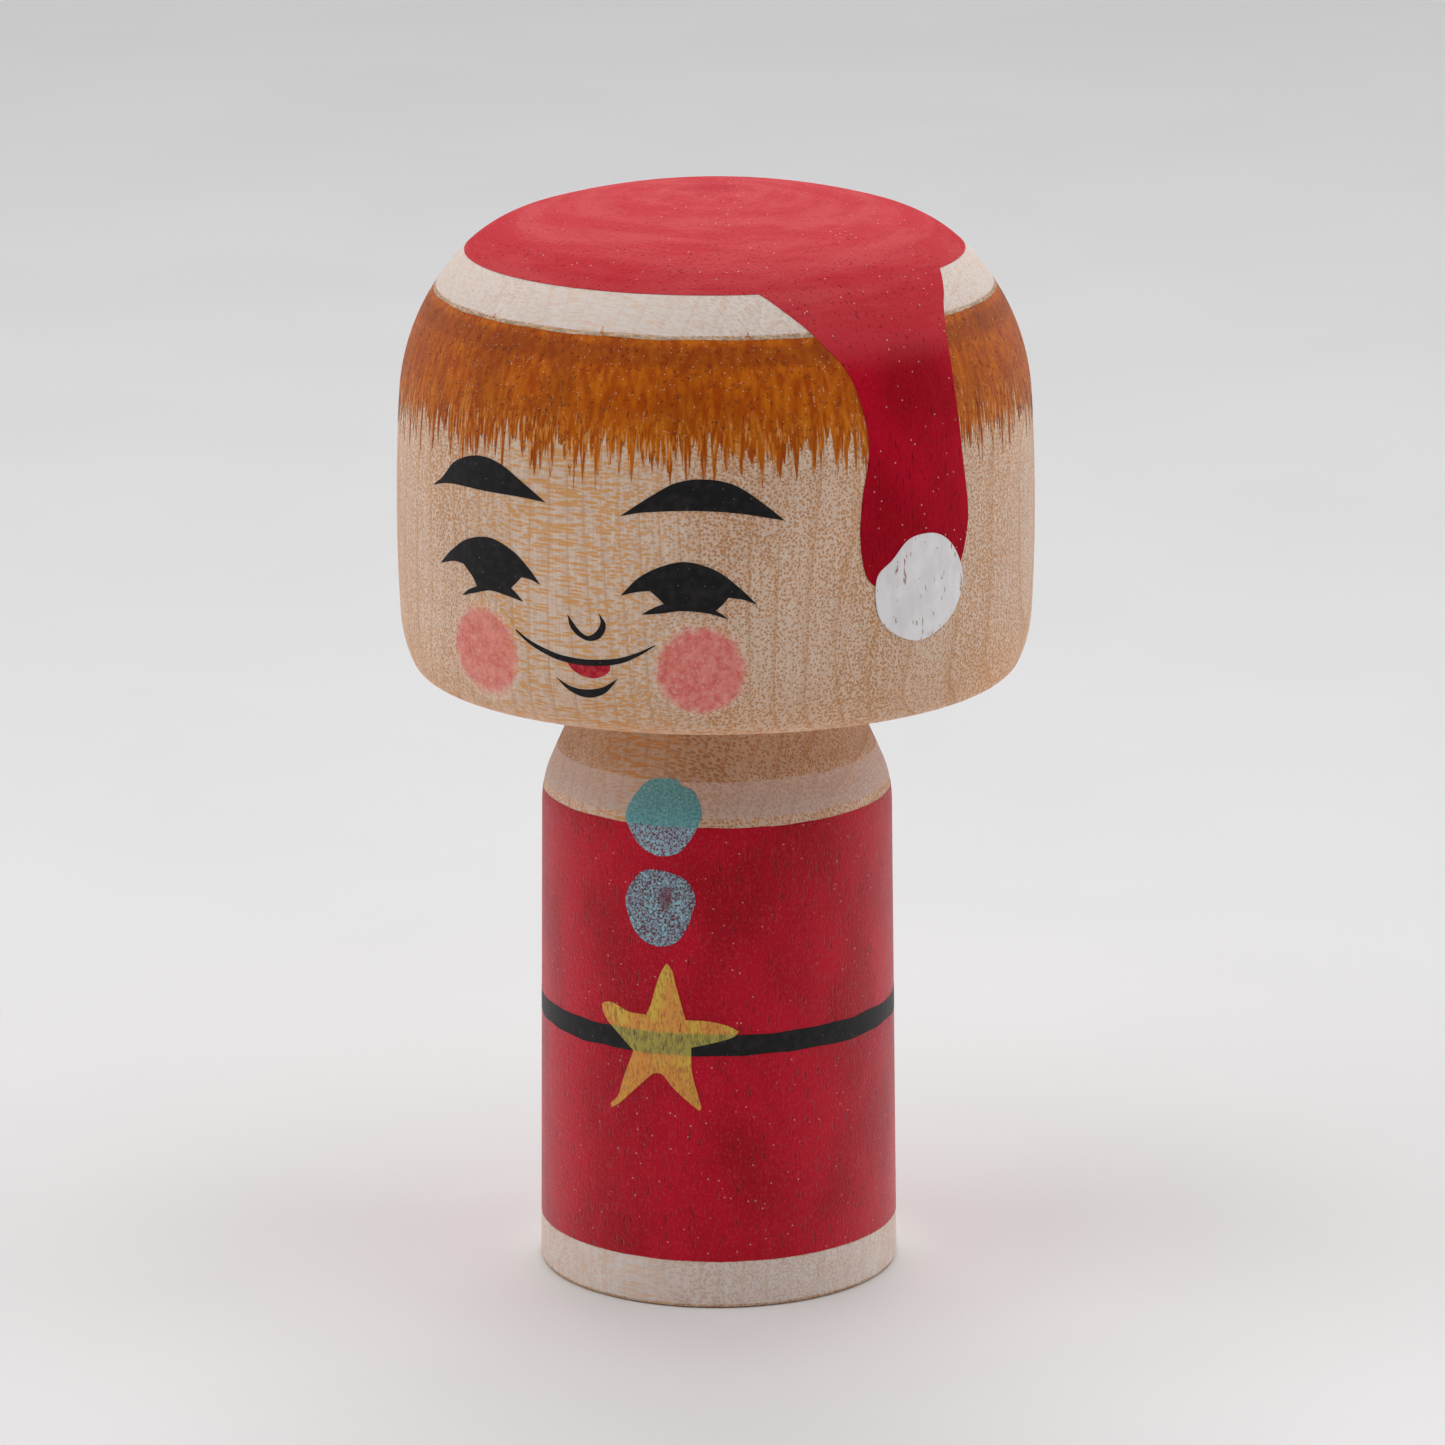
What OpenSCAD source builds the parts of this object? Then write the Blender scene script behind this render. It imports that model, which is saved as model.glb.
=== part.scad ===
// Kokeshi doll, three sun tall: a turned body, a turned head and the hardwood
// peg that joins them. Every solid is turned about the same upright axis.
// Millimetres, +Z up, the origin at the middle of the underside.

/* [Body] */
// Diameter of the body just above its foot
base_d = 29.8; // [28:0.1:32]
// Diameter of the body where the shoulder begins
shoulder_d = 28.9; // [27:0.1:31]
// Height at which the shoulder begins to turn in
shoulder_z = 39.4; // [36:0.1:42]
// Radius of the turned shoulder
shoulder_r = 8.6; // [6:0.2:11]
// Slope of the neck cone from the vertical, in degrees
neck_slope = 23.4; // [18:0.2:28]
// Height of the seat that the head rests on
seat_z = 50.9; // [49:0.1:53]
// Rounding of the foot's edge and of the seat's edge
edge_r = 0.4; // [0.2:0.1:0.8]

/* [Head] */
// Largest diameter of the head
head_d = 52.2; // [50:0.1:55]
// Radius of the long side curve
side_r = 150; // [120:1:180]
// Angle that the side curve turns in above the widest line
side_high = 4; // [3:0.1:5]
// Angle that the side curve turns in below the widest line
side_low = 3; // [2.5:0.1:4]
// Radius of the upper shoulder of the head
top_r = 18; // [16:0.5:21]
// Angle of the surface normal where the upper shoulder ends
top_end = 45; // [38:1:50]
// Radius of the turn between the upper shoulder and the crown
rim_r = 10.8; // [9:0.2:13]
// Angle of the surface normal where the crown begins
rim_end = 73.2; // [68:0.2:78]
// Radius of the lower corner
corner_r = 10.5; // [8:0.5:12]
// Angle of the surface normal where the lower corner ends
corner_end = 24; // [20:1:35]
// Radius of the crisp edge round the underside
under_r = 1.7; // [1.2:0.1:2.2]

/* [Neck peg] */
// Diameter of the peg
peg_d = 8; // [6:0.5:10]
// Depth of the peg in the body
peg_in_body = 12; // [10:0.5:16]
// Depth of the peg in the head
peg_in_head = 12; // [10:0.5:16]
// Bevel on both ends of the peg
peg_bevel = 0.6; // [0.4:0.1:1]
// Clearance on the radius between the peg and the head's socket
socket_play = 0.05; // [0.03:0.01:0.08]
// Room left above the end of the peg
socket_spare = 1.5; // [1:0.5:3]
// Gap between the seat and the underside of the head
seat_gap = 0.1; // [0.05:0.05:0.2]

/* [Hidden] */
ARC_STEPS = 14;
$fn = 96;

maple = [0.86, 0.74, 0.60];
beech = [0.78, 0.62, 0.45];
red_coat = [0.72, 0.07, 0.13];

head_z = seat_z + seat_gap;
peg_length = peg_in_body + peg_in_head;
socket_d = peg_d + 2 * socket_play;
socket_depth = peg_in_head - seat_gap + socket_spare;

// Points of an arc that leaves point p, where the surface normal stands at
// angle a0 above the horizontal, and ends where the normal stands at a1
function turn(p, r, a0, a1) =
    [for (i = [1 : ARC_STEPS])
        let (a = a0 + (a1 - a0) * i / ARC_STEPS)
        p + r * [cos(a) - cos(a0), sin(a) - sin(a0)]];

function last(points) = points[len(points) - 1];

function backward(points) = [for (i = [len(points) - 1 : -1 : 0]) points[i]];

// The body's half outline, from the underside to the seat
foot_arc = turn([base_d / 2 - edge_r, 0], edge_r, -90, 0);
shoulder_arc = turn([shoulder_d / 2, shoulder_z], shoulder_r, 0, neck_slope);
neck_foot = last(shoulder_arc);
seat_arc_h = edge_r * (1 - sin(neck_slope));
neck_rise = seat_z - seat_arc_h - neck_foot.y;
neck_top = [neck_foot.x - neck_rise * tan(neck_slope), seat_z - seat_arc_h];
seat_arc = turn(neck_top, edge_r, neck_slope, 90);
body_outline = concat(
    [[0, 0], [base_d / 2 - edge_r, 0]],
    foot_arc,
    [[shoulder_d / 2, shoulder_z]],
    shoulder_arc,
    [neck_top],
    seat_arc,
    [[0, seat_z]]
);

// The head's half outline above its widest line, which is at height 0 here
widest = [head_d / 2, 0];
side_up = turn(widest, side_r, 0, side_high);
top_arc = turn(last(side_up), top_r, side_high, top_end);
rim_arc = turn(last(top_arc), rim_r, top_end, rim_end);
crown_r = last(rim_arc).x / cos(rim_end);
crown = turn(last(rim_arc), crown_r, rim_end, 90);

// The head's half outline below its widest line
side_down = turn(widest, side_r, 0, -side_low);
corner = turn(last(side_down), corner_r, -side_low, -corner_end);
under_edge = turn(last(corner), under_r, -corner_end, -90);
head_drop = -last(under_edge).y;
head_outline = concat(
    [[0, -head_drop]],
    backward(under_edge),
    backward(corner),
    backward(side_down),
    [widest],
    side_up,
    top_arc,
    rim_arc,
    [for (i = [0 : ARC_STEPS - 2]) crown[i]],
    [[0, last(crown).y]]
);

// A round shaft with both ends bevelled, standing on height 0
module bevelled_peg(d, h, bevel) {
    rotate_extrude()
        polygon([
            [0, 0],
            [d / 2 - bevel, 0],
            [d / 2, bevel],
            [d / 2, h - bevel],
            [d / 2 - bevel, h],
            [0, h]
        ]);
}

module body() {
    color(red_coat)
        difference() {
            rotate_extrude()
                polygon(body_outline);
            translate([0, 0, seat_z - peg_in_body])
                cylinder(d = peg_d, h = peg_in_body + 1);
        }
}

module neck_dowel() {
    color(beech)
        translate([0, 0, seat_z - peg_in_body])
            bevelled_peg(peg_d, peg_length, peg_bevel);
}

module head() {
    color(maple)
        difference() {
            translate([0, 0, head_z + head_drop])
                rotate_extrude()
                    polygon(head_outline);
            translate([0, 0, head_z - 1])
                cylinder(d = socket_d, h = socket_depth + 1);
        }
}

body();
neck_dowel();
head();
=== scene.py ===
"""Looks of the turned kokeshi doll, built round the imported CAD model.

Shapes are worked out in millimetres and written in metres. A place on a turned
surface is an azimuth (0 faces -Y, positive towards +X) and a height. A painted
mark is a thin closed film that follows the wood.
"""
import math

import bpy
import numpy as np
from mathutils import Matrix, Vector
from mathutils.geometry import delaunay_2d_cdt


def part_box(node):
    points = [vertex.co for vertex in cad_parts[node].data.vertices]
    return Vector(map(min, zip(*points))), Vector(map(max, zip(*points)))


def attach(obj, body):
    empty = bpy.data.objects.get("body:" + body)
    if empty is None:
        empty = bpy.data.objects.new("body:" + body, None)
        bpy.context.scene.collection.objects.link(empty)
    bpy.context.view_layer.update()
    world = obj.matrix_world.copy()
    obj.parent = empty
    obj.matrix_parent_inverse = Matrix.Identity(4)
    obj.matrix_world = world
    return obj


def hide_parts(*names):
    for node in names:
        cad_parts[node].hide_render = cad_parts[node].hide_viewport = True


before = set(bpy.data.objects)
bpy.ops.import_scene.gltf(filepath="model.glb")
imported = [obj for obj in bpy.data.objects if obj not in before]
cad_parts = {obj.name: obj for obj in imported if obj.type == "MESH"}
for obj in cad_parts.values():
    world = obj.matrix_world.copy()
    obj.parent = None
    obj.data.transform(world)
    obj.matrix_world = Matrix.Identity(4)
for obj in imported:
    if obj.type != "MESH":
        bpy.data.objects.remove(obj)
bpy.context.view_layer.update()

MM = 0.001

# ---------------------------------------------------------------- sizes, mm

HEAD_LOW, HEAD_HIGH = (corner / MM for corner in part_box("head"))
BODY_LOW, BODY_HIGH = (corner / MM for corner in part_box("body"))
PEG_LOW, PEG_HIGH = (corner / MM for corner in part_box("neck_dowel"))

HEAD_R = (HEAD_HIGH.x - HEAD_LOW.x) / 2
BODY_R = (BODY_HIGH.x - BODY_LOW.x) / 2
PEG_R = (PEG_HIGH.x - PEG_LOW.x) / 2
SEAT_Z = BODY_HIGH.z
SOCKET_PLAY = 0.05
SOCKET_SPARE = 1.5

# The head's arcs, as in the CAD: radius, then the normal's angle where it ends
HEAD_ARCS_UP = ((150, 4), (18, 45), (10.8, 73.2))
HEAD_ARCS_DOWN = ((150, 3.0), (10.5, 24), (1.7, 90))

# The body's outline, as in the CAD
SHOULDER_R = 14.45
SHOULDER_Z = 39.4
SHOULDER_ARC = 8.6
NECK_SLOPE = 23.4
EDGE_ROUND = 0.4

# Reference radii that turn a distance round the doll into an angle
FACE_REACH = 26.1
COAT_REACH = 14.6
# The face looks a little to one side of the buttons
FACE_TURN = math.radians(-6.0)

# Heights of the painted rings
FOOT_TOP = 4.05
BELT_LOW, BELT_HIGH = 21.6, 23.4
COAT_TOP = 40.75
COLLAR_LOW, COLLAR_HIGH = 41.5, 44.25
HAIR_TOP = 82.65
BORDER_HIGH = 82.95
HAT_EDGE = 85.72

# How far each layer of paint stands above the wood
SINK = 0.01
LIFT_WASH = 0.015
LIFT_COAT = 0.02
LIFT_INK = 0.03
LIFT_BELT = 0.035
LIFT_HAT = 0.045
LIFT_TOP = 0.06

# ------------------------------------------------------- turned surfaces


def turn(start, radius, angle_a, angle_b, steps=48):
    """Points of an arc from start, where the normal stands at angle_a degrees."""
    a = np.radians(np.linspace(angle_a, angle_b, steps + 1)[1:])
    a0 = math.radians(angle_a)
    return np.array(start) + radius * np.column_stack([np.cos(a) - math.cos(a0), np.sin(a) - math.sin(a0)])


def head_outline():
    """The head's outer outline, (radius, height), from the underside to the pole."""
    widest = np.array([[HEAD_R, 0.0]])
    up = [widest]
    angle = 0.0
    for radius, end in HEAD_ARCS_UP:
        up.append(turn(up[-1][-1], radius, angle, end))
        angle = end
    crown = up[-1][-1][0] / math.cos(math.radians(angle))
    up.append(turn(up[-1][-1], crown, angle, 90, 160))
    down = []
    last, angle = widest[0], 0.0
    for radius, end in HEAD_ARCS_DOWN:
        down.append(turn(last, radius, -angle, -end))
        last, angle = down[-1][-1], end
    outline = np.vstack([np.vstack(down)[::-1]] + up)
    outline[:, 1] += HEAD_LOW.z - last[1]
    return outline


def body_outline():
    """The body's outer outline, (radius, height), from the foot to the seat."""
    foot = turn((BODY_R - EDGE_ROUND, 0), EDGE_ROUND, -90, 0, 12)
    side = np.linspace(foot[-1], (SHOULDER_R, SHOULDER_Z), 120)[1:]
    shoulder = turn((SHOULDER_R, SHOULDER_Z), SHOULDER_ARC, 0, NECK_SLOPE, 24)
    seat_drop = EDGE_ROUND * (1 - math.sin(math.radians(NECK_SLOPE)))
    rise = SEAT_Z - seat_drop - shoulder[-1][1]
    top = shoulder[-1] + np.array([-rise * math.tan(math.radians(NECK_SLOPE)), rise])
    cone = np.linspace(shoulder[-1], top, 40)[1:]
    seat = turn(top, EDGE_ROUND, NECK_SLOPE, 90, 8)
    start = np.array([[BODY_R - EDGE_ROUND, 0.0]])
    return np.vstack([start, foot, side, shoulder, cone, seat])


class Turned:
    """A turned surface: radius and height by the distance along its outline."""

    def __init__(self, outline):
        self.r, self.z = outline.T
        steps = np.hypot(np.diff(self.r), np.diff(self.z))
        self.s = np.concatenate([[0], np.cumsum(steps)])
        dr, dz = np.gradient(self.r, self.s), np.gradient(self.z, self.s)
        size = np.hypot(dr, dz)
        self.nr, self.nz = dz / size, -dr / size
        self.length = self.s[-1]

    def along(self, z):
        return np.interp(z, self.z, self.s)

    def place(self, azimuth, s, lift=0.0):
        """Points on the surface, in metres, and the surface's normals there."""
        nr, nz = np.interp(s, self.s, self.nr), np.interp(s, self.s, self.nz)
        r = np.interp(s, self.s, self.r) + lift * nr
        z = np.interp(s, self.s, self.z) + lift * nz
        sine, cosine = np.sin(azimuth), np.cos(azimuth)
        points = np.column_stack([r * sine, -r * cosine, z]) * MM
        return points, np.column_stack([nr * sine, -nr * cosine, nz])


HEAD = Turned(head_outline())
BODY = Turned(body_outline())

# ------------------------------------------------------------ mesh builders


def make_piece(name, points, faces, normals, material, body):
    """A smooth mesh with its own normals, riding on a CAD body."""
    mesh = bpy.data.meshes.new(name)
    mesh.from_pydata(points, [], faces)
    mesh.validate()
    mesh.polygons.foreach_set("use_smooth", [True] * len(mesh.polygons))
    mesh.materials.append(material)
    if normals is not None:
        corner = np.zeros(len(mesh.loops), np.int32)
        mesh.loops.foreach_get("vertex_index", corner)
        mesh.normals_split_custom_set(normals[corner].tolist())
    piece = bpy.data.objects.new(name, mesh)
    bpy.context.scene.collection.objects.link(piece)
    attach(piece, body)
    return piece


def lathe(name, outline, material, body, columns=288):
    """A closed turned solid from an outline that starts and ends on the axis."""
    angles = np.linspace(0, 2 * math.pi, columns, endpoint=False)
    rings = outline[1:-1]
    points = [(r * math.sin(a) * MM, -r * math.cos(a) * MM, z * MM) for r, z in rings for a in angles]
    start, end = len(points), len(points) + 1
    points += [(0, 0, outline[0][1] * MM), (0, 0, outline[-1][1] * MM)]
    faces = []
    for j in range(len(rings) - 1):
        for i in range(columns):
            k = (i + 1) % columns
            faces.append((j * columns + i, j * columns + k, (j + 1) * columns + k, (j + 1) * columns + i))
    last = (len(rings) - 1) * columns
    for i in range(columns):
        k = (i + 1) % columns
        faces.append((k, i, start))
        faces.append((last + i, last + k, end))
    piece = make_piece(name, points, faces, None, material, body)
    piece.data.set_sharp_from_angle(angle=math.radians(35))
    return piece


def film(name, surface, azimuth, s, triangles, lift, material, body):
    """A closed film over the given faces of (azimuth, s) places."""
    count = len(azimuth)
    top, normal = surface.place(azimuth, s, lift)
    under, _ = surface.place(azimuth, s, -SINK)
    edges = {}
    for face in triangles:
        for a, b in zip(face, face[1:] + face[:1]):
            edges[(a, b)] = edges.get((b, a)) is None
            if not edges[(a, b)]:
                edges[(b, a)] = False
    faces = list(triangles)
    faces += [tuple(count + i for i in reversed(face)) for face in triangles]
    faces += [(b, a, count + a, count + b) for (a, b), rim in edges.items() if rim]
    normals = np.vstack([normal, normal])
    return make_piece(name, np.vstack([top, under]), faces, normals, material, body)


def band(name, surface, low, high, lift, material, body, columns=720, rows=10):
    """A ring of paint between two heights, each a function of the azimuth."""
    angles = np.linspace(-math.pi, math.pi, columns, endpoint=False)
    s_low, s_high = surface.along(low(angles)), surface.along(high(angles))
    share = np.linspace(0, 1, rows + 1)[:, None]
    s = (s_low + (s_high - s_low) * share).ravel()
    azimuth = np.tile(angles, rows + 1)
    quads = []
    for j in range(rows):
        for i in range(columns):
            k = (i + 1) % columns
            quads.append((j * columns + i, j * columns + k, (j + 1) * columns + k, (j + 1) * columns + i))
    return film(name, surface, azimuth, s, quads, lift, material, body)


def inside(points, loop):
    """Which points lie inside a closed loop."""
    x, y = points[:, 0, None], points[:, 1, None]
    xa, ya = loop.T
    xb, yb = np.roll(loop, -1, 0).T
    crosses = (ya > y) != (yb > y)
    height = np.where(yb == ya, 1.0, yb - ya)
    hit = x < (xb - xa) * (y - ya) / height + xa
    return (crosses & hit).sum(1) % 2 == 1


def clear_of(points, loop, distance):
    """Which points keep a distance from every segment of a closed loop."""
    a, b = loop, np.roll(loop, -1, 0)
    step = b - a
    t = ((points[:, None] - a) * step).sum(2) / np.maximum((step**2).sum(1), 1e-12)
    nearest = a + np.clip(t, 0, 1)[..., None] * step
    return np.sqrt(((points[:, None] - nearest) ** 2).sum(2)).min(1) > distance


def patch(name, surface, outline, lift, material, body, spacing=0.5, polar=False):
    """A patch of paint inside an outline of (azimuth, s). A polar one is cut
    from the surface unrolled round its pole, and any other from its side."""
    azimuth, s = outline.T
    reach = surface.r.max()
    if polar:
        loop = np.column_stack([np.sin(azimuth), -np.cos(azimuth)]) * (surface.length - s)[:, None]
    else:
        loop = np.column_stack([azimuth * reach, s])
    low, high = loop.min(0), loop.max(0)
    row = spacing * math.sqrt(3) / 2
    lattice = np.array([
        (low[0] + (i + 0.5 * (j % 2)) * spacing, low[1] + j * row)
        for j in range(int((high[1] - low[1]) / row) + 2)
        for i in range(int((high[0] - low[0]) / spacing) + 2)
    ])
    lattice = lattice[inside(lattice, loop)]
    if len(lattice):
        lattice = lattice[clear_of(lattice, loop, 0.45 * spacing)]
    points = [Vector(p) for p in np.vstack([loop, lattice.reshape(-1, 2)])]
    rim = [(i, (i + 1) % len(loop)) for i in range(len(loop))]
    places, _, triangles, *_ = delaunay_2d_cdt(points, rim, [], 1, 1e-7)
    places = np.array([tuple(p) for p in places])
    centres = places[np.array(triangles)].mean(1)
    triangles = [tuple(t) for t, keep in zip(triangles, inside(centres, loop)) if keep]
    used = sorted({i for t in triangles for i in t})
    index = {old: new for new, old in enumerate(used)}
    triangles = [tuple(index[i] for i in t) for t in triangles]
    places = places[used]
    if polar:
        azimuth = np.arctan2(places[:, 0], -places[:, 1])
        s = surface.length - np.hypot(places[:, 0], places[:, 1])
    else:
        azimuth, s = places[:, 0] / reach, places[:, 1]
    return film(name, surface, azimuth, s, triangles, lift, material, body)


# ---------------------------------------------------------------- outlines


def smooth(points, steps=8):
    """An open Catmull-Rom curve through the points."""
    p = np.array(points, float)
    p = np.vstack([2 * p[0] - p[1], p, 2 * p[-1] - p[-2]])
    t = np.linspace(0, 1, steps, endpoint=False)[:, None]
    pieces = []
    for a, b, c, d in zip(p, p[1:], p[2:], p[3:]):
        pieces.append(
            0.5 * (2 * b + (c - a) * t + (2 * a - 5 * b + 4 * c - d) * t**2 + (3 * b - a - 3 * c + d) * t**3)
        )
    return np.vstack(pieces + [p[-2:-1]])


def corners(*strokes):
    """A closed outline of smooth strokes, each starting where the last ended."""
    return np.vstack([smooth(stroke)[:-1] for stroke in strokes])


def blob(points, steps=6):
    """A closed smooth outline through the points."""
    count = len(points)
    wrapped = smooth([*points, *points, *points[:1]], steps)
    return wrapped[count * steps // 2 : count * steps // 2 + count * steps]


def brush_line(points, width, start=0.25, end=0.12):
    """The outline of a brush line that swells to width between thin ends."""
    middle = smooth(points)
    t = np.linspace(0, 1, len(middle))
    swell = start + (1 - start) * np.sin(np.minimum(t / 0.55, 1) * math.pi / 2)
    fade = end + (1 - end) * np.sin(np.minimum((1 - t) / 0.4, 1) * math.pi / 2)
    step = np.gradient(middle, axis=0)
    side = np.column_stack([-step[:, 1], step[:, 0]]) / np.hypot(*step.T)[:, None]
    half = (width / 2 * swell * fade)[:, None]
    return np.vstack([middle + side * half, (middle - side * half)[::-1]])


def on_face(outline):
    """(distance right of the nose, height) on the head to (azimuth, s)."""
    return np.column_stack([FACE_TURN + outline[:, 0] / FACE_REACH, HEAD.along(outline[:, 1])])


def on_coat(outline):
    """(distance right of the buttons, height) on the body to (azimuth, s)."""
    return np.column_stack([outline[:, 0] / COAT_REACH, BODY.along(outline[:, 1])])


BROW_LEFT = corners(
    [(-16.5, 69.0), (-15.0, 69.9), (-13.2, 71.5), (-10.4, 72.4), (-7.8, 72.1), (-5.2, 70.8), (-3.2, 69.6)],
    [(-3.2, 69.6), (-5.7, 69.75), (-9.1, 69.7), (-13.6, 69.6), (-16.5, 69.0)],
)
BROW_RIGHT = corners(
    [(3.3, 69.1), (5.5, 70.6), (7.8, 71.9), (10.2, 72.2), (12.5, 71.7), (14.6, 70.3), (16.4, 68.8)],
    [(16.4, 68.8), (12.6, 69.5), (9.0, 69.7), (5.5, 69.5), (3.3, 69.1)],
)
EYE_LEFT = corners(
    [(-15.3, 62.8), (-13.6, 64.2), (-11.4, 65.5), (-8.8, 66.0), (-6.4, 65.3), (-4.8, 64.1), (-3.7, 62.9)],
    [(-3.7, 62.9), (-4.6, 63.2), (-5.5, 63.3)],
    [(-5.5, 63.3), (-6.0, 62.8), (-6.6, 62.25)],
    [(-6.6, 62.25), (-6.0, 61.85), (-5.4, 61.3)],
    [(-5.4, 61.3), (-6.9, 61.55), (-8.8, 61.7), (-10.7, 61.2), (-12.3, 60.7)],
    [(-12.3, 60.7), (-11.5, 61.3), (-10.4, 61.8)],
    [(-10.4, 61.8), (-10.9, 62.5), (-12.0, 63.35)],
    [(-12.0, 63.35), (-13.3, 63.35), (-15.3, 62.8)],
)
EYE_RIGHT = corners(
    [(3.3, 62.7), (4.9, 64.3), (6.9, 65.3), (8.8, 65.6), (11.0, 64.9), (12.8, 63.5), (14.2, 62.1)],
    [(14.2, 62.1), (13.1, 62.55), (11.9, 62.75)],
    [(11.9, 62.75), (11.5, 62.25), (10.9, 61.7)],
    [(10.9, 61.7), (11.4, 61.4), (11.9, 61.0)],
    [(11.9, 61.0), (10.2, 61.5), (8.2, 61.65), (6.5, 61.4), (5.0, 61.25)],
    [(5.0, 61.25), (5.8, 61.75), (6.8, 62.2)],
    [(6.8, 62.2), (6.3, 62.7), (5.7, 63.2)],
    [(5.7, 63.2), (4.6, 63.05), (3.3, 62.7)],
)
NOSE = corners(
    [(-1.25, 60.8), (-1.0, 59.8), (-0.3, 59.1), (0.7, 58.8), (1.65, 59.2), (2.05, 60.2), (1.5, 61.1)],
    [(1.5, 61.1), (1.6, 60.3), (1.15, 59.55), (0.5, 59.2), (-0.15, 59.5), (-0.7, 60.1), (-1.25, 60.8)],
)
MOUTH = brush_line(
    [
        (-6.2, 58.9), (-5.0, 58.15), (-3.6, 57.6), (-1.9, 57.15), (0.4, 57.0), (2.9, 57.3), (4.6, 57.95),
        (6.1, 58.8),
    ],
    0.50,
)
LIP = corners(
    [(-1.5, 57.0), (0.4, 56.95), (2.35, 57.05)],
    [(2.35, 57.05), (2.3, 56.5), (1.8, 56.05), (0.9, 55.75), (-0.1, 55.9), (-0.9, 56.3), (-1.5, 57.0)],
)
CHIN = corners(
    [(-2.45, 55.5), (-1.2, 54.9), (0.1, 54.75), (1.6, 55.05), (3.0, 55.9)],
    [(3.0, 55.9), (1.85, 54.6), (0.3, 54.08), (-1.25, 54.5), (-2.45, 55.5)],
)
CHEEK_LEFT = blob([
    (-9.8, 60.9), (-7.0, 59.9), (-5.6, 57.1), (-6.6, 53.9), (-9.4, 52.4), (-12.3, 53.4), (-13.9, 56.4),
    (-12.8, 59.7),
])
CHEEK_RIGHT = blob([
    (9.8, 61.1), (12.7, 60.0), (13.8, 57.0), (12.7, 54.1), (9.7, 52.9), (6.7, 54.1), (5.6, 57.0),
    (6.7, 60.0),
])
POMPOM = blob([
    (28.9, 66.5), (30.6, 66.1), (32.1, 64.8), (33.1, 62.6), (32.7, 60.6), (31.4, 59.0), (28.9, 57.9),
    (26.9, 58.2), (24.9, 59.5), (24.1, 61.3), (24.2, 63.6), (25.6, 64.8), (27.1, 66.2),
])
TAIL_LEFT = smooth([
    (15.4, HAT_EDGE), (16.6, 85.1), (19.0, 83.5), (20.6, 82.0), (22.4, 79.9), (23.3, 77.0), (23.6, 73.6),
    (22.9, 69.8), (22.7, 66.6), (23.2, 63.8), (24.4, 62.6), (26.5, 61.6),
])
TAIL_RIGHT = smooth([
    (31.0, 61.6), (32.8, 63.5), (33.7, 66.2), (33.8, 68.3), (33.3, 72.4), (33.1, 77.0), (33.9, 80.8),
    (35.4, 83.1), (37.2, 84.4), (39.2, HAT_EDGE),
])
STAR = corners(
    [(0.4, 29.35), (0.85, 28.7), (1.15, 27.5), (1.95, 24.6)],
    [(1.95, 24.6), (3.8, 24.55), (5.4, 24.15), (6.3, 23.65)],
    [(6.3, 23.65), (5.8, 23.2), (4.5, 22.8), (2.4, 22.3)],
    [(2.4, 22.3), (2.45, 20.3), (2.9, 18.4), (3.2, 17.3), (3.05, 16.95)],
    [(3.05, 16.95), (2.0, 17.8), (0.9, 18.8), (0.1, 19.75), (-0.45, 19.95), (-0.9, 19.8)],
    [(-0.9, 19.8), (-2.4, 18.35), (-3.8, 17.0), (-4.65, 16.4)],
    [(-4.65, 16.4), (-4.7, 16.8), (-4.0, 17.6), (-3.5, 19.1), (-2.55, 21.6)],
    [(-2.55, 21.6), (-3.9, 22.8), (-5.0, 23.7), (-5.5, 24.4), (-5.65, 25.05)],
    [(-5.65, 25.05), (-5.3, 25.3), (-4.4, 25.35), (-3.0, 24.85), (-1.4, 24.8)],
    [(-1.4, 24.8), (-0.95, 25.8), (-0.6, 27.1), (-0.1, 28.5), (0.4, 29.35)],
)
BUTTON_UPPER = blob([
    (-1.6, 44.2), (0.8, 44.4), (1.4, 43.95), (2.6, 43.5), (3.3, 42.0), (2.95, 40.8), (2.4, 39.8), (1.3, 38.6),
    (-0.4, 38.3), (-2.0, 39.05), (-3.1, 40.6), (-3.4, 41.4), (-2.9, 42.8),
])
BUTTON_LOWER = blob([
    (-1.4, 37.0), (0.4, 37.0), (2.1, 36.3), (2.8, 34.8), (2.5, 33.6), (2.0, 32.2), (1.0, 31.0), (-0.6, 30.7),
    (-2.2, 31.5), (-3.1, 33.3), (-3.25, 34.6), (-2.5, 36.1),
])


def hat_outline():
    """The cap's edge all round, with the tail that hangs over the hair."""
    tail_left, tail_right = on_face(TAIL_LEFT), on_face(TAIL_RIGHT)
    round_the_back = np.linspace(tail_right[-1, 0], tail_left[0, 0] + 2 * math.pi, 320)[1:-1]
    edge = np.column_stack([round_the_back, np.full(len(round_the_back), HEAD.along(HAT_EDGE))])
    return np.vstack([tail_left, tail_right, edge])


def wavy(height, size, seed, waves=9):
    """A height with a slight hand-painted waviness, as a function of azimuth."""
    rng = np.random.default_rng(seed)
    turns = rng.integers(2, 26, waves)
    phase = rng.uniform(0, 2 * math.pi, waves)
    weight = rng.uniform(0.3, 1.0, waves) * size / waves**0.5

    def at(azimuth):
        return height + (weight[:, None] * np.sin(turns[:, None] * azimuth + phase[:, None])).sum(0)

    return at


# Brush strokes of the fringe: how many, half width in mm, height and spread of the tips
FRINGE = ((520, 0.10, 0.32, 73.7, 0.70), (190, 0.14, 0.42, 72.5, 0.75), (70, 0.14, 0.34, 71.4, 0.60))
HAIR_ROOT = 75.4


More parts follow.
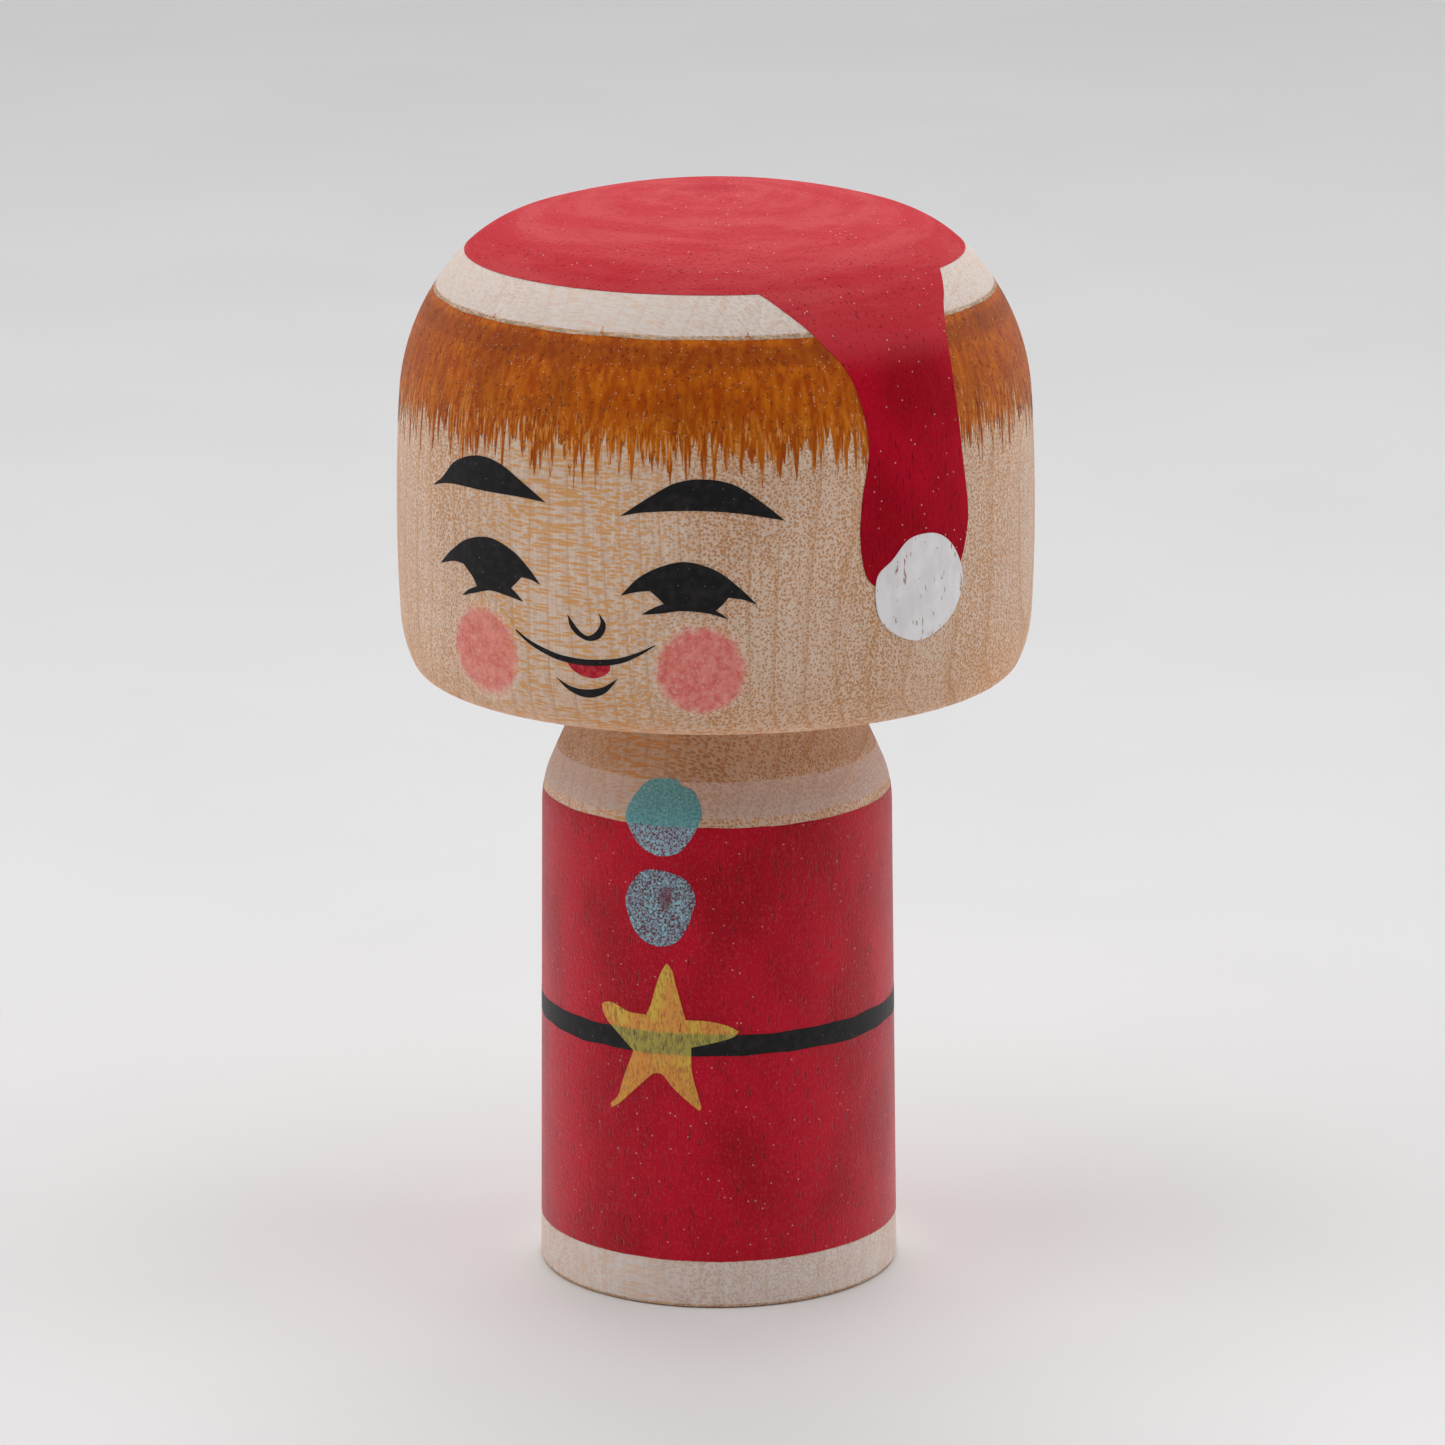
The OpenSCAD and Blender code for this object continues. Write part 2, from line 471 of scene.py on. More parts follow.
def fringe_edge(azimuth):
    """The lower edge of the hair: brush strokes that end in ragged points."""
    rng = np.random.default_rng(12)
    edge = np.full(azimuth.shape, HAIR_ROOT + 0.5)
    for count, thin, thick, low, spread in FRINGE:
        centre = (np.arange(count) + rng.uniform(-0.7, 0.7, count)) * 2 * math.pi / count
        width = rng.uniform(thin, thick, count) / FACE_REACH
        sweep = wavy(0.0, 0.8, 5)(centre)
        tip = low + sweep + rng.normal(0, spread, count)
        root = HAIR_ROOT + 0.5 * sweep + rng.uniform(-0.6, 0.8, count)
        for c, w, t, r in zip(centre, width, tip, root):
            away = np.abs((azimuth - c + math.pi) % (2 * math.pi) - math.pi) / w
            stroke = r - (r - t) * np.clip(1 - away, 0, 1) ** 0.7
            edge = np.where(away < 1, np.minimum(edge, stroke), edge)
    return edge


# Three slips of the brush above the hair's border: place, height and half width
HAIR_SLIPS = ((-12.1, 0.55, 0.25), (0.4, 0.75, 0.22), (13.9, 0.6, 0.28))


def hair_top(azimuth):
    edge = wavy(HAIR_TOP, 0.05, 3)(azimuth)
    for place, height, half in HAIR_SLIPS:
        away = np.abs(azimuth - FACE_TURN - place / FACE_REACH) * FACE_REACH / half
        edge = edge + height * np.clip(1 - away, 0, 1)
    return edge


# --------------------------------------------------------------- materials


class Net:
    """Short calls that add nodes to a tree. A value is a number or a socket."""

    def __init__(self, tree):
        self.tree = tree

    def new(self, kind, **settings):
        node = self.tree.nodes.new(kind)
        for key, value in settings.items():
            setattr(node, key, value)
        return node

    def put(self, socket, value):
        if isinstance(value, bpy.types.NodeSocket):
            self.tree.links.new(value, socket)
        else:
            socket.default_value = value

    def math(self, operation, a, b=0.0, clamp=False):
        node = self.new("ShaderNodeMath", operation=operation, use_clamp=clamp)
        self.put(node.inputs[0], a)
        self.put(node.inputs[1], b)
        return node.outputs[0]

    def times(self, *factors):
        result = factors[0]
        for factor in factors[1:]:
            result = self.math("MULTIPLY", result, factor)
        return result

    def plus(self, a, b):
        return self.math("ADD", a, b)

    def ramp(self, value, low, high, out_low=0.0, out_high=1.0):
        node = self.new("ShaderNodeMapRange", interpolation_type="SMOOTHSTEP")
        for socket, number in zip(node.inputs, (value, low, high, out_low, out_high)):
            self.put(socket, number)
        return node.outputs[0]

    def mix(self, factor, a, b, blend="MIX"):
        node = self.new("ShaderNodeMix", data_type="RGBA", blend_type=blend)
        self.put(node.inputs[0], factor)
        self.put(node.inputs[6], a if isinstance(a, bpy.types.NodeSocket) else (*a, 1))
        self.put(node.inputs[7], b if isinstance(b, bpy.types.NodeSocket) else (*b, 1))
        return node.outputs[2]

    def noise(self, vector, scale=1.0, detail=2.0, roughness=0.5):
        node = self.new("ShaderNodeTexNoise")
        self.put(node.inputs["Vector"], vector)
        self.put(node.inputs["Scale"], scale)
        self.put(node.inputs["Detail"], detail)
        self.put(node.inputs["Roughness"], roughness)
        return node.outputs["Fac"]

    def cells(self, vector, scale=1.0):
        """Distance to the nearest of many scattered points."""
        node = self.new("ShaderNodeTexVoronoi")
        self.put(node.inputs["Vector"], vector)
        self.put(node.inputs["Scale"], scale)
        return node.outputs["Distance"]

    def stretch(self, vector, xyz):
        node = self.new("ShaderNodeVectorMath", operation="MULTIPLY")
        self.put(node.inputs[0], vector)
        self.put(node.inputs[1], xyz)
        return node.outputs[0]

    def parts(self, vector):
        node = self.new("ShaderNodeSeparateXYZ")
        self.put(node.inputs[0], vector)
        return node.outputs

    def join(self, x, y, z):
        node = self.new("ShaderNodeCombineXYZ")
        for socket, value in zip(node.inputs, (x, y, z)):
            self.put(socket, value)
        return node.outputs[0]

    def place(self):
        """Object coordinates in millimetres."""
        return self.stretch(self.new("ShaderNodeTexCoord").outputs["Object"], (1 / MM,) * 3)


# Distance of the pith from the middle of each blank, and of ring from ring
PITH = 80.0
RING = 1.7

WOOD_LIGHT = (0.90, 0.695, 0.55)
WOOD_BASE = (0.80, 0.58, 0.44)
WOOD_ORANGE = (0.82, 0.38, 0.10)
WOOD_BROWN = (0.57, 0.24, 0.085)
WOOD_RING = (0.64, 0.31, 0.12)
WOOD_GLINT = (0.98, 0.88, 0.78)


def maple_group():
    """Maple turned with its grain upright: growth rings, ray flecks and fibres.

    Rays are thin ribbons along the way from the pith, so they show as level
    dashes where the surface runs that way and as small upright spindles elsewhere.
    """
    tree = bpy.data.node_groups.new("maple", "ShaderNodeTree")
    tree.interface.new_socket("Shift", in_out="INPUT", socket_type="NodeSocketVector")
    tree.interface.new_socket("Turn", in_out="INPUT", socket_type="NodeSocketFloat")
    tree.interface.new_socket("Color", in_out="OUTPUT", socket_type="NodeSocketColor")
    tree.interface.new_socket("Height", in_out="OUTPUT", socket_type="NodeSocketFloat")
    net = Net(tree)
    inputs, outputs = net.new("NodeGroupInput"), net.new("NodeGroupOutput")
    turned = net.new("ShaderNodeVectorRotate", rotation_type="Z_AXIS")
    net.put(turned.inputs["Vector"], net.place())
    net.put(turned.inputs["Angle"], inputs.outputs["Turn"])
    shifted = net.new("ShaderNodeVectorMath", operation="ADD")
    net.put(shifted.inputs[0], turned.outputs[0])
    net.put(shifted.inputs[1], inputs.outputs["Shift"])
    p = shifted.outputs[0]
    x, y, z = net.parts(p)
    out = net.plus(x, PITH)
    across = net.math("DIVIDE", net.times(y, PITH), out)

    crowd = net.ramp(net.noise(net.stretch(p, (0.14, 0.14, 0.07)), detail=2), 0.35, 0.65, 0.05, -0.05)

    def rays(along, wide, high, size):
        """Flecks spread along the ray, across it and upright, as a mask."""
        place = net.join(net.times(x, along), net.times(across, wide), net.times(z, high))
        return net.ramp(net.plus(net.cells(place), crowd), size, size * 0.62)

    sway = net.noise(net.stretch(p, (0.05, 0.05, 0.02)), detail=2)
    straight = net.math("SQRT", net.plus(net.times(out, out), net.times(y, y)))
    ring = net.math("FRACT", net.math("DIVIDE", net.plus(straight, net.times(sway, 7.0)), RING))
    late = net.times(net.ramp(ring, 0.70, 0.98), net.ramp(ring, 1.0, 0.985))
    line = net.times(net.ramp(ring, 0.90, 0.96), net.ramp(ring, 1.0, 0.985))
    radius = net.math("SQRT", net.plus(net.times(x, x), net.times(y, y)))
    facing = net.math("ABSOLUTE", net.plus(net.times(x, out), net.times(y, y)))
    end_on = net.ramp(net.math("DIVIDE", facing, net.times(radius, straight)), 0.10, 0.55)

    spindles = rays(1.2, 7.6, 4.2, 0.54)
    dashes = rays(0.42, 5.6, 3.9, 0.54)
    fibre = net.noise(net.stretch(p, (6.0, 6.0, 0.22)), detail=2, roughness=0.6)
    grain = net.noise(net.stretch(p, (7.0, 7.0, 4.0)), detail=2, roughness=0.7)

    color = net.mix(net.ramp(fibre, 0.33, 0.67), WOOD_BASE, WOOD_LIGHT)
    color = net.mix(net.times(late, 0.30), color, WOOD_RING)
    color = net.mix(net.times(line, net.ramp(grain, 0.35, 0.6), 0.45), color, WOOD_RING)
    color = net.mix(net.times(spindles, net.ramp(end_on, 0.0, 1.0, 0.25, 0.85)), color, WOOD_BROWN)
    color = net.mix(net.times(dashes, net.ramp(end_on, 0.0, 1.0, 0.85, 0.35)), color, WOOD_ORANGE)
    color = net.mix(net.ramp(grain, 0.60, 0.72, 0.0, 0.5), color, WOOD_GLINT)
    net.put(outputs.inputs["Color"], color)
    height = net.plus(net.times(fibre, 0.7), net.plus(net.times(spindles, -0.35), net.times(grain, 0.5)))
    net.put(outputs.inputs["Height"], height)
    return tree


MAPLE = maple_group()
# A blank's shift in the wood, and its turn about the upright axis
HEAD_BLANK = ((0.0, 0.0, 0.0), math.radians(-8))
BODY_BLANK = ((3.1, -1.2, 140.0), math.radians(-3.5))
PEG_BLANK = ((9.0, 4.0, 30.0), 0.0)


def material(name, blank, paint, bump=0.03, gloss=0.5, sheen=0.0):
    """A material whose paint(net, place, wood, relief) gives the colour, the
    roughness and the height of the surface. bump is the relief's depth in mm."""
    made = bpy.data.materials.new(name)
    made.use_nodes = True
    tree = made.node_tree
    net = Net(tree)
    shader = next(node for node in tree.nodes if node.type == "BSDF_PRINCIPLED")
    maple = net.new("ShaderNodeGroup", node_tree=MAPLE)
    net.put(maple.inputs["Shift"], blank[0])
    net.put(maple.inputs["Turn"], blank[1])
    color, roughness, height = paint(net, net.place(), maple.outputs["Color"], maple.outputs["Height"])
    net.put(shader.inputs["Base Color"], color)
    net.put(shader.inputs["Roughness"], roughness)
    net.put(shader.inputs["Specular IOR Level"], gloss)
    net.put(shader.inputs["Sheen Weight"], sheen)
    net.put(shader.inputs["Sheen Roughness"], 0.45)
    relief = net.new("ShaderNodeBump")
    net.put(relief.inputs["Strength"], 1.0)
    net.put(relief.inputs["Distance"], bump * MM)
    net.put(relief.inputs["Height"], height)
    net.put(shader.inputs["Normal"], relief.outputs["Normal"])
    return made


def specks(net, p, scale, size):
    """Small scattered dots of dust and raised grain, as a mask."""
    return net.ramp(net.cells(p, scale), size, size * 0.6)


def bare(start, full, shade_tint):
    """Sanded wood, greyer in patches, and darkened past a height by painted shade: warm shade and bounce
    light under the chin, the head's shadow on the neck.
    """

    def paint(net, p, wood, relief):
        _, _, z = net.parts(p)
        tone = net.ramp(net.noise(net.stretch(p, (0.07, 0.07, 0.05))), 0.3, 0.7, 0.92, 1.04)
        color = net.mix(1.0, wood, net.join(tone, tone, tone), "MULTIPLY")
        uneven = net.times(net.noise(net.stretch(p, (0.3, 0.3, 0.3)), detail=2), 3.0)
        # Painted shade: darker and warmer past a height, under the chin on the head and on the neck below the
        # head
        color = net.mix(net.ramp(net.plus(z, uneven), start, full), color, shade_tint, "MULTIPLY")
        return color, net.ramp(relief, 0.2, 0.9, 0.62, 0.50), relief

    return paint


def end_grain(net, p, wood, relief):
    """The underside of the foot: end grain with the rings of the parting tool."""
    x, y, _ = net.parts(p)
    radius = net.math("SQRT", net.plus(net.times(x, x), net.times(y, y)))
    rings = net.math("SINE", net.times(radius, 9.0))
    color = net.mix(net.ramp(rings, -1.0, 1.0, 0.12, 0.0), wood, WOOD_RING)
    return color, net.ramp(rings, -1.0, 1.0, 0.66, 0.56), net.plus(relief, rings)


RED_DEEP = (0.46, 0.0008, 0.014)
RED_BRIGHT = (0.63, 0.0020, 0.025)
RED_PALE = (0.66, 0.012, 0.036)
# Two colours of the painted highlight on the hat's crown
RED_HIGHLIGHT = (0.69, 0.074, 0.084)
RED_ROSE_HIGHLIGHT = (0.63, 0.034, 0.048)
RED_GRIT = (0.72, 0.06, 0.085)
RED_DUST = (0.78, 0.52, 0.48)
RED_POLE = (0.52, 0.008, 0.03)
RED_PORE = (0.17, 0.001, 0.006)


def red(highlight_start, highlight_full, depth, pale):
    """Thin brushed red: pores show dark, raised grain pale, with a paler, pinker crown that is painted
    highlight of the light from above.
    """

    def paint(net, p, wood, relief):
        x, y, z = net.parts(p)
        cloud = net.noise(net.stretch(p, (0.16, 0.16, 0.10)), detail=3)
        streak = net.noise(net.stretch(p, (4.0, 4.0, 0.30)), detail=3)
        mottle = net.noise(p, 3.4, detail=3, roughness=0.7)
        color = net.mix(net.ramp(cloud, 0.35, 0.65), RED_DEEP, RED_BRIGHT)
        color = net.mix(1.0, color, (depth, depth, depth), "MULTIPLY")
        color = net.mix(net.ramp(streak, 0.55, 0.72, 0.0, pale), color, RED_PALE)
        color = net.mix(net.ramp(mottle, 0.60, 0.72, 0.0, pale), color, RED_PALE)
        from_axis = net.math("SQRT", net.plus(net.times(x, x), net.times(y, y)))
        brushed = net.join(net.times(from_axis, 0.42), net.times(net.math("ARCTAN2", y, x), 1.3), 3.0)
        sweep = net.noise(brushed, detail=5, roughness=0.62)
        grit = net.ramp(net.noise(net.stretch(p, (6.0, 6.0, 3.0)), detail=2, roughness=0.7), 0.52, 0.66)
        color = net.mix(net.times(grit, pale), color, RED_GRIT)
        # Painted highlight: the hat's crown paler and pinker towards the top, where the light from above
        # falls
        crown_highlight = net.ramp(net.plus(z, net.times(sweep, 3.0)), highlight_start, highlight_full, 0.0, 0.92)
        color = net.mix(crown_highlight, color, net.mix(net.ramp(sweep, 0.36, 0.62), RED_HIGHLIGHT, RED_ROSE_HIGHLIGHT))
        pole = net.ramp(net.plus(from_axis, net.times(sweep, 3.0)), 4.6, 1.8, 0.0, 0.75)
        color = net.mix(pole, color, RED_POLE)
        pores = net.ramp(net.noise(net.stretch(p, (5.5, 5.5, 0.9)), detail=2), 0.62, 0.72)
        color = net.mix(net.times(pores, 0.6), color, RED_PORE)
        color = net.mix(net.times(specks(net, p, 1.15, 0.10), 0.7), color, RED_DUST)
        height = net.plus(net.times(relief, 0.6), net.plus(net.times(pores, -0.9), net.times(mottle, 0.8)))
        return color, net.ramp(mottle, 0.3, 0.7, 0.50, 0.62), height

    return paint


WASH_WHITE = (0.86, 0.80, 0.77)
WASH_FOOT = (0.96, 0.93, 0.92)
WASH_COLLAR = (0.69, 0.56, 0.53)


def wash(strength, white=WASH_WHITE):
    """White wash that lets the wood show."""

    def paint(net, p, wood, relief):
        cloud = net.noise(net.stretch(p, (1.2, 1.2, 0.6)), detail=3)
        uneven = net.plus(cloud, net.times(relief, 0.25))
        cover = net.ramp(uneven, 0.35, 0.95, strength - 0.12, strength + 0.12)
        return net.mix(cover, wood, white), 0.62, net.times(relief, 0.9)

    return paint


HAIR_DARK = (0.27, 0.044, 0.003)
HAIR_DEEP = (0.44, 0.068, 0.001)
HAIR_BRIGHT = (0.64, 0.155, 0.004)
HAIR_THIN = (0.80, 0.29, 0.035)
HAIR_DUST = (0.85, 0.55, 0.38)


def stain(net, p, wood, relief):
    """Hair: brown at the border, orange where the strokes thin out."""
    _, _, z = net.parts(p)
    streak = net.noise(net.stretch(p, (1.6, 1.6, 0.10)), detail=3, roughness=0.55)
    cloud = net.noise(net.stretch(p, (0.22, 0.22, 0.16)), detail=3)
    color = net.mix(net.ramp(streak, 0.32, 0.68), HAIR_DEEP, HAIR_BRIGHT)
    color = net.mix(net.ramp(cloud, 0.45, 0.68, 0.0, 0.45), color, HAIR_DARK)
    ring = net.times(net.ramp(z, 80.4, 81.0), net.ramp(z, 82.4, 81.9))
    color = net.mix(net.times(ring, 0.45), color, HAIR_DARK)
    threads = net.noise(net.stretch(p, (4.6, 4.6, 0.16)), detail=2)
    color = net.mix(net.times(net.ramp(threads, 0.47, 0.60), net.ramp(z, 78.0, 74.5), 0.8), color, HAIR_THIN)
    gap = net.ramp(net.plus(threads, net.ramp(z, 77.5, 72.0, -0.09, 0.10)), 0.60, 0.67)
    color = net.mix(net.times(gap, 0.75), color, net.mix(0.25, wood, HAIR_BRIGHT))
    nodules = net.ramp(net.noise(p, 2.6, detail=1), 0.62, 0.72)
    color = net.mix(net.times(nodules, 0.3), color, HAIR_DARK)
    color = net.mix(net.times(specks(net, p, 2.2, 0.14), 0.7), color, HAIR_DUST)
    height = net.plus(net.times(relief, 0.5), net.times(nodules, 2.2))
    return color, net.ramp(streak, 0.3, 0.7, 0.42, 0.55), height


BORDER_GREY = (0.24, 0.19, 0.11)


def border(net, p, wood, relief):
    """The scored line between the hair and the hat's band."""
    patchy = net.ramp(net.noise(net.stretch(p, (1.5, 1.5, 6.0)), detail=2), 0.35, 0.65, 0.15, 0.75)
    return net.mix(patchy, wood, BORDER_GREY), 0.6, relief


INK_DEEP = (0.013, 0.012, 0.013)
INK_PALE = (0.026, 0.023, 0.024)
INK_DUST = (0.42, 0.40, 0.38)


def ink(net, p, wood, relief):
    """Dense black with dust on it."""
    cloud = net.noise(p, 1.4, detail=3)
    color = net.mix(net.ramp(cloud, 0.4, 0.7), INK_DEEP, INK_PALE)
    dust = specks(net, p, 1.6, 0.085)
    color = net.mix(net.times(dust, 0.6), color, INK_DUST)
    return color, net.ramp(cloud, 0.3, 0.7, 0.48, 0.60), net.plus(net.times(relief, 0.6), dust)


PINK_DEEP = (0.80, 0.105, 0.10)
PINK_PALE = (0.93, 0.27, 0.22)


def blush(centre, reach, strength):
    """Stamped pink that fades at the edge and lets the wood show."""

    def paint(net, p, wood, relief):
        x, y, z = net.parts(p)
        azimuth = FACE_TURN + centre[0] / FACE_REACH
        sideways = net.plus(net.times(x, math.cos(azimuth)), net.times(y, math.sin(azimuth)))
        upwards = net.plus(z, -centre[1])
        away = net.math("SQRT", net.plus(net.times(sideways, sideways), net.times(upwards, upwards)))
        mottle = net.noise(p, 1.3, detail=4, roughness=0.7)
        cover = net.ramp(net.plus(away, net.times(mottle, 0.9)), reach + 0.45, reach - 0.5, 0.0, strength)
        pink = net.mix(net.ramp(mottle, 0.35, 0.65), PINK_DEEP, PINK_PALE)
        grainy = net.ramp(net.noise(p, 4.5, detail=2), 0.45, 0.75, 1.0, 0.6)
        return net.mix(net.times(cover, grainy), wood, pink), 0.6, relief

    return paint


LIP_DEEP = (0.48, 0.008, 0.030)
LIP_PALE = (0.62, 0.050, 0.065)


def lip_red(net, p, wood, relief):
    tone = net.noise(p, 2.2, detail=3)
    return net.mix(net.ramp(tone, 0.35, 0.65), LIP_DEEP, LIP_PALE), 0.55, relief


FLUFF_SHADE = (0.88, 0.84, 0.86)
FLUFF_WHITE = (0.97, 0.95, 0.96)
FLUFF_OVER_HAIR = (0.42, 0.27, 0.17)
FLUFF_OVER_TAIL = (0.42, 0.01, 0.03)


def fluff(net, p, wood, relief):
    """Dry-brushed white: pores and the paint below show through as dashes."""
    _, _, z = net.parts(p)
    dashes = net.noise(net.stretch(p, (3.2, 3.2, 0.9)), detail=2)
    holes = net.ramp(dashes, 0.665, 0.70)
    under = net.mix(net.ramp(z, 63.2, 64.2), FLUFF_OVER_HAIR, FLUFF_OVER_TAIL)
    cloud = net.noise(net.stretch(p, (0.8, 0.8, 0.4)), detail=3)
    white = net.mix(net.ramp(cloud, 0.35, 0.65), FLUFF_SHADE, FLUFF_WHITE)
    height = net.plus(net.times(relief, 0.4), net.times(holes, -1.5))
    return net.mix(net.times(holes, 0.85), white, under), 0.62, height


CHALK_DEEP = (0.37, 0.54, 0.69)
CHALK_PALE = (0.38, 0.70, 0.80)
CHALK_UNDER = (0.16, 0.022, 0.035)
TEAL_DEEP = (0.09, 0.34, 0.37)
TEAL_PALE = (0.25, 0.58, 0.62)


def blue(over_collar, worn_centre=None):
    """Thin blue: teal over the pale collar, speckled where it lies on the red."""

    def paint(net, p, wood, relief):
        x, _, z = net.parts(p)
        grit = net.noise(p, 5.0, detail=3, roughness=0.85)
        cloud = net.noise(p, 0.8, detail=2)
        chalk = net.mix(net.ramp(cloud, 0.35, 0.65), CHALK_DEEP, CHALK_PALE)
        shown = net.ramp(grit, 0.44, 0.54)
        if worn_centre is not None:
            dx = net.times(net.plus(x, -worn_centre[0]), 0.9)
            dz = net.times(net.plus(z, -worn_centre[1]), 0.42)
            away = net.math("SQRT", net.plus(net.times(dx, dx), net.times(dz, dz)))
            shown = net.times(shown, net.ramp(net.plus(away, net.times(cloud, 0.5)), 0.55, 0.95, 0.3, 1.0))
        speckled = net.mix(shown, CHALK_UNDER, chalk)
        teal = net.mix(net.ramp(grit, 0.4, 0.62), TEAL_DEEP, TEAL_PALE)
        if not over_collar:
            return speckled, 0.58, net.plus(relief, shown)
        edge = net.ramp(net.plus(z, net.times(grit, 0.5)), COAT_TOP + 0.1, COAT_TOP + 0.4)
        return net.mix(edge, speckled, teal), 0.58, net.plus(relief, grit)

    return paint


GOLD_ORANGE = (0.86, 0.36, 0.06)
GOLD_YELLOW = (0.82, 0.56, 0.06)
GOLD_LOW = (0.86, 0.32, 0.05)
GOLD_GLINT = (0.86, 0.62, 0.16)
GOLD_THIN = (0.56, 0.17, 0.025)
GOLD_HOLE = (0.36, 0.02, 0.02)
GOLD_ON_BELT = (0.42, 0.40, 0.07)
BELT_THIN = (0.13, 0.11, 0.03)
BELT_HOLE = (0.03, 0.03, 0.02)


def gold(net, p, wood, relief):
    """Thin yellow over red, orange where it is thinnest, greenish on the belt."""
    _, _, z = net.parts(p)
    cloud = net.noise(net.stretch(p, (0.5, 0.5, 0.35)), detail=3)
    dashes = net.noise(net.stretch(p, (4.5, 4.5, 1.1)), detail=2)
    grit = net.noise(p, 5.0, detail=2, roughness=0.8)
    color = net.mix(net.ramp(cloud, 0.42, 0.60), GOLD_ORANGE, GOLD_YELLOW)
    color = net.mix(net.ramp(z, 22.0, 18.5, 0.0, 0.6), color, GOLD_LOW)
    above = net.ramp(z, BELT_LOW - 0.2, BELT_LOW + 0.15)
    below = net.ramp(z, BELT_HIGH + 0.2, BELT_HIGH - 0.1)
    belt = net.times(above, below)
    color = net.mix(net.times(belt, 0.85), color, GOLD_ON_BELT)
    holes = net.ramp(dashes, 0.62, 0.70)
    under = net.mix(belt, GOLD_HOLE, BELT_HOLE)
    color = net.mix(net.times(holes, 0.8), color, under)
    brushed = net.noise(net.stretch(p, (6.5, 6.5, 1.6)), detail=3, roughness=0.7)
    thin = net.mix(belt, GOLD_THIN, BELT_THIN)
    color = net.mix(net.ramp(brushed, 0.46, 0.62, 0.0, 0.75), color, thin)
    color = net.mix(net.ramp(grit, 0.56, 0.72, 0.0, 0.35), color, GOLD_GLINT)
    return color, 0.55, net.plus(net.times(relief, 0.6), net.times(holes, -1.0))


MATERIALS = {
    # bare's last tuple tints painted shade: under the chin on the head, on the neck under the head's overhang
    "head_maple": material("head_maple", HEAD_BLANK, bare(59.5, 53.0, (0.98, 0.90, 0.82)), gloss=0.3),
    "body_maple": material("body_maple", BODY_BLANK, bare(44.5, 47.0, (0.76, 0.69, 0.61)), gloss=0.3),
    "peg_beech": material("peg_beech", PEG_BLANK, end_grain),
    # hat_red gets a painted highlight on its crown from 80.6 mm up; coat_red's highlight heights lie above
    # the body
    "hat_red": material("hat_red", HEAD_BLANK, red(80.6, 84.6, 0.85, 0.10), 0.06, 0.05, 0.0),
    "coat_red": material("coat_red", BODY_BLANK, red(60.0, 61.0, 1.0, 0.4), 0.06, 0.08, 0.40),
    "band_wash": material("band_wash", HEAD_BLANK, wash(0.62)),
    "collar_wash": material("collar_wash", BODY_BLANK, wash(0.52, WASH_COLLAR)),
    "foot_wash": material("foot_wash", BODY_BLANK, wash(0.50, WASH_FOOT)),
    "hair_stain": material("hair_stain", HEAD_BLANK, stain, 0.05, 0.08, 0.10),
    "border_line": material("border_line", HEAD_BLANK, border),
    "face_ink": material("face_ink", HEAD_BLANK, ink, gloss=0.12),
    "belt_ink": material("belt_ink", BODY_BLANK, ink, gloss=0.15, sheen=0.1),
    "cheek_left": material("cheek_left", HEAD_BLANK, blush((-9.7, 56.6), 4.0, 0.84)),
    "cheek_right": material("cheek_right", HEAD_BLANK, blush((9.7, 56.8), 3.95, 0.94)),
    "lip_red": material("lip_red", HEAD_BLANK, lip_red, gloss=0.12),
    "pompom_white": material("pompom_white", HEAD_BLANK, fluff),
    "button_teal": material("button_teal", BODY_BLANK, blue(True)),
    "button_blue": material("button_blue", BODY_BLANK, blue(False, (0.3, 34.6))),
    "star_gold": material("star_gold", BODY_BLANK, gold),
}

# ------------------------------------------------------------------- wood

socket_r = PEG_R + SOCKET_PLAY
socket_top = PEG_HIGH.z + SOCKET_SPARE
head_solid = np.vstack([
    [(0, socket_top), (socket_r, socket_top), (socket_r, HEAD_LOW.z)],
    np.linspace((socket_r, HEAD_LOW.z), (HEAD.r[0], HEAD_LOW.z), 24)[1:-1],
    np.column_stack([HEAD.r, HEAD.z])[::2],
    [(0, HEAD.z[-1])],
])
body_solid = np.vstack([
    [(0, 0)],
    np.linspace((0.6, 0), (BODY.r[0], 0), 20)[:-1],
    np.column_stack([BODY.r, BODY.z]),
    [(PEG_R, SEAT_Z), (PEG_R, PEG_LOW.z), (0, PEG_LOW.z)],
])
head_wood = lathe("head_wood", head_solid, MATERIALS["head_maple"], "head")
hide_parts("head")
body_wood = lathe("body_wood", body_solid, MATERIALS["body_maple"], "body")
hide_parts("body")
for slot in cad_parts["neck_dowel"].material_slots:
    slot.material = MATERIALS["peg_beech"]

# ------------------------------------------------------------------ paint

band("hat_band", HEAD, wavy(BORDER_HIGH, 0.03, 8), wavy(HAT_EDGE + 0.15, 0.02, 9), LIFT_WASH,
     MATERIALS["band_wash"], "head")
band("hair_border", HEAD, wavy(HAIR_TOP + 0.02, 0.04, 3), wavy(BORDER_HIGH - 0.08, 0.03, 8), LIFT_WASH,
     MATERIALS["border_line"], "head", rows=2)
band("hair", HEAD, fringe_edge, hair_top, LIFT_COAT, MATERIALS["hair_stain"], "head",
     columns=3600, rows=8)
patch("hat", HEAD, hat_outline(), LIFT_HAT, MATERIALS["hat_red"], "head", 0.7, polar=True)

